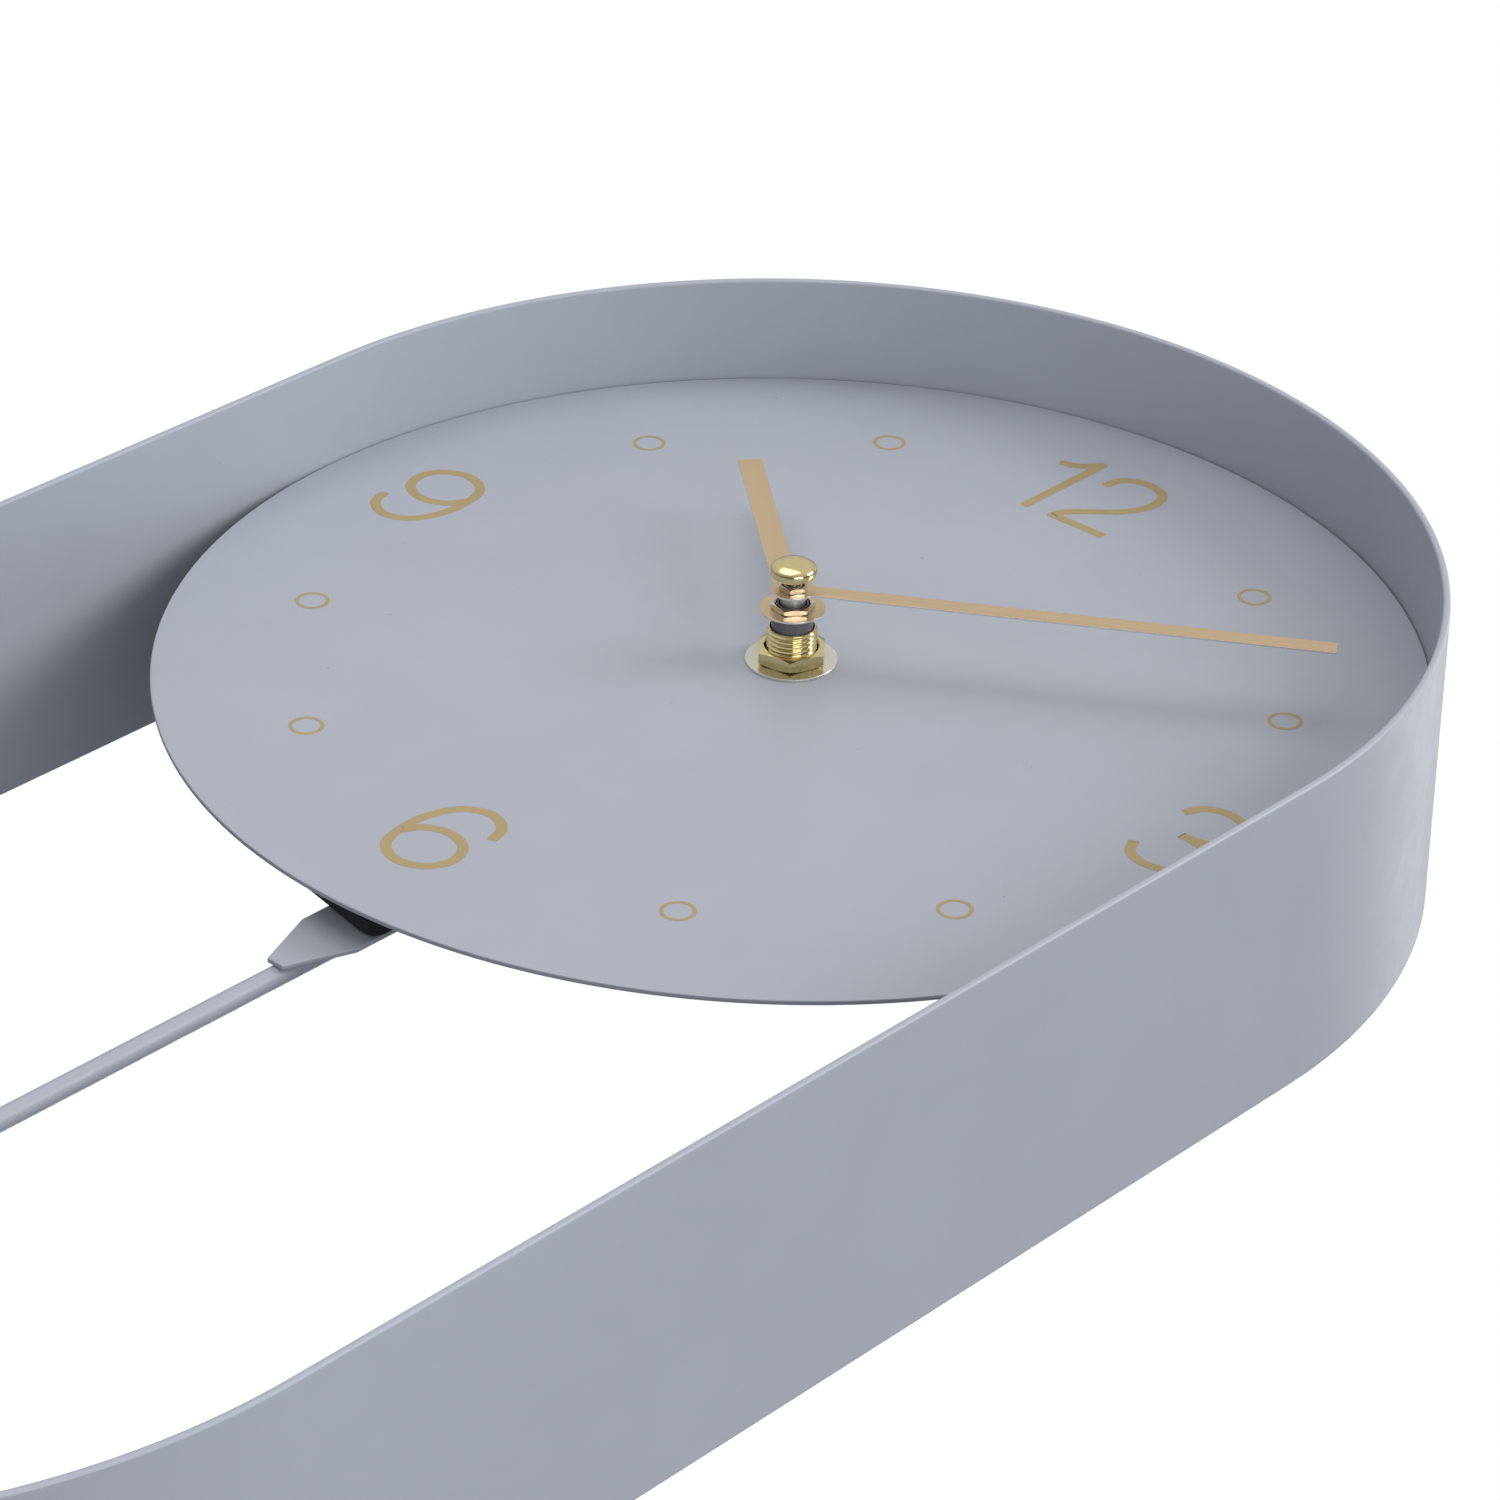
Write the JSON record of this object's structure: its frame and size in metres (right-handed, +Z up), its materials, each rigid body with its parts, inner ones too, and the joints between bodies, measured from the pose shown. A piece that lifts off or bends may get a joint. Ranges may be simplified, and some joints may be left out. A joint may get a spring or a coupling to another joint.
{
  "type": "pendulum wall clock",
  "caption": "Wall clock with a tall round-ended steel band, a round dial set into its upper end, two straight hands and a hanging pendulum swung by its own drive.",
  "frame": {"origin": "the wall screw seated in the hanger's keyhole, at the wall plane", "axes": "+Z up, +Y into the wall, the dial faces -Y, +X to the right of a person who faces the dial"},
  "size_m": [0.25, 0.0635, 0.5],
  "materials": {
    "enamel": "fine matt powder coat",
    "steel": "bright zinc plating",
    "brass": "polished",
    "pale_brass": "satin nickel over brass",
    "gold": "satin champagne gold",
    "copper": "enamelled wire",
    "black_plastic": "fine spark texture",
    "dark_plastic": "smooth moulded",
    "white_plastic": "smooth moulded acetal",
    "rubber": "matt",
    "board": "solder mask",
    "magnet": "dark nickel",
    "cell": "plain wrapped sleeve"
  },
  "bodies": {
    "case": {"case_band": "enamel", "dial": "enamel", "dial_weld_1": "enamel", "dial_weld_2": "enamel", "dial_weld_3": "enamel", "dial_weld_4": "enamel", "hanger_plate": "steel", "hanger_weld_1": "steel", "hanger_weld_2": "steel", "contact_positive": "steel", "contact_negative": "steel", "stator": "steel", "coil_core": "steel", "quartz_crystal": "steel", "drive_contact_positive": "steel", "drive_contact_negative": "steel", "drive_core": "steel", "lever_pin": "steel", "threaded_bush": "brass", "fixing_nut": "brass", "fixing_washer": "pale_brass", "coil_winding": "copper", "drive_coil": "copper", "movement_front_case": "black_plastic", "movement_rear_cover": "black_plastic", "control_chip": "black_plastic", "drive_housing": "black_plastic", "drive_cover": "black_plastic", "train_bridge": "white_plastic", "coil_bobbin": "white_plastic", "rubber_gasket": "rubber", "drive_pad": "rubber", "circuit_board": "board", "drive_board": "board", "battery": "cell", "drive_battery": "cell"},
    "minute_hand": {"minute_hand": "gold", "minute_collet": "brass", "cannon_pinion": "steel", "centre_wheel": "white_plastic"},
    "hour_hand": {"hour_hand": "gold", "hour_collet": "brass", "hour_wheel": "dark_plastic"},
    "seconds_arbor": {"seconds_wheel": "steel", "centre_cap": "brass"},
    "minute_wheel": {"minute_wheel": "white_plastic"},
    "setting_knob": {"setting_knob": "dark_plastic"},
    "third_wheel": {"third_wheel": "white_plastic"},
    "intermediate_wheel": {"intermediate_wheel": "white_plastic"},
    "rotor": {"rotor_pinion": "white_plastic", "rotor_magnet": "magnet"},
    "swing_lever": {"swing_lever": "black_plastic", "lever_magnet": "magnet", "hook_pin": "steel"},
    "pendulum": {"pendulum_plate": "enamel", "pendulum_rod": "enamel", "pendulum_bob": "enamel", "bob_clip": "steel"}
  },
  "joints": [
    {"name": "minute_hand_turn", "type": "hinge", "parent": "case", "child": "minute_hand", "pos_m": [0, -0.031, -0.1], "axis": [0, 1, 0], "continuous": true},
    {"name": "hour_hand_turn", "type": "hinge", "parent": "case", "child": "hour_hand", "pos_m": [0, -0.031, -0.1], "axis": [0, 1, 0], "continuous": true},
    {"name": "seconds_arbor_turn", "type": "hinge", "parent": "case", "child": "seconds_arbor", "pos_m": [0, -0.031, -0.1], "axis": [0, 1, 0], "continuous": true},
    {"name": "minute_wheel_turn", "type": "hinge", "parent": "case", "child": "minute_wheel", "pos_m": [0.00846, -0.031, -0.09692], "axis": [0, 1, 0], "continuous": true},
    {"name": "setting_knob_turn", "type": "hinge", "parent": "case", "child": "setting_knob", "pos_m": [0.01769, -0.031, -0.09855], "axis": [0, 1, 0], "continuous": true},
    {"name": "third_wheel_turn", "type": "hinge", "parent": "case", "child": "third_wheel", "pos_m": [-0.00883, -0.031, -0.0949], "axis": [0, 1, 0], "continuous": true},
    {"name": "intermediate_wheel_turn", "type": "hinge", "parent": "case", "child": "intermediate_wheel", "pos_m": [0, -0.031, -0.0895], "axis": [0, 1, 0], "continuous": true},
    {"name": "rotor_turn", "type": "hinge", "parent": "case", "child": "rotor", "pos_m": [0.00842, -0.031, -0.08643], "axis": [0, 1, 0], "continuous": true},
    {"name": "lever_swing", "type": "hinge", "parent": "case", "child": "swing_lever", "pos_m": [0, -0.0355, -0.1637], "axis": [0, 1, 0], "range_deg": [-8, 8]},
    {"name": "pendulum_tilt", "type": "hinge", "parent": "swing_lever", "child": "pendulum", "pos_m": [0, -0.0329, -0.209], "axis": [1, 0, 0], "range_deg": [-2, 8.3]}
  ],
  "couplings": [
    {"joint": "hour_hand_turn", "follows": "minute_hand_turn", "ratio": 0.083333},
    {"joint": "minute_wheel_turn", "follows": "minute_hand_turn", "ratio": -0.33333},
    {"joint": "setting_knob_turn", "follows": "minute_hand_turn", "ratio": 0.85714},
    {"joint": "third_wheel_turn", "follows": "minute_hand_turn", "ratio": -8},
    {"joint": "seconds_arbor_turn", "follows": "minute_hand_turn", "ratio": 60},
    {"joint": "intermediate_wheel_turn", "follows": "minute_hand_turn", "ratio": -300},
    {"joint": "rotor_turn", "follows": "minute_hand_turn", "ratio": 1800}
  ]
}
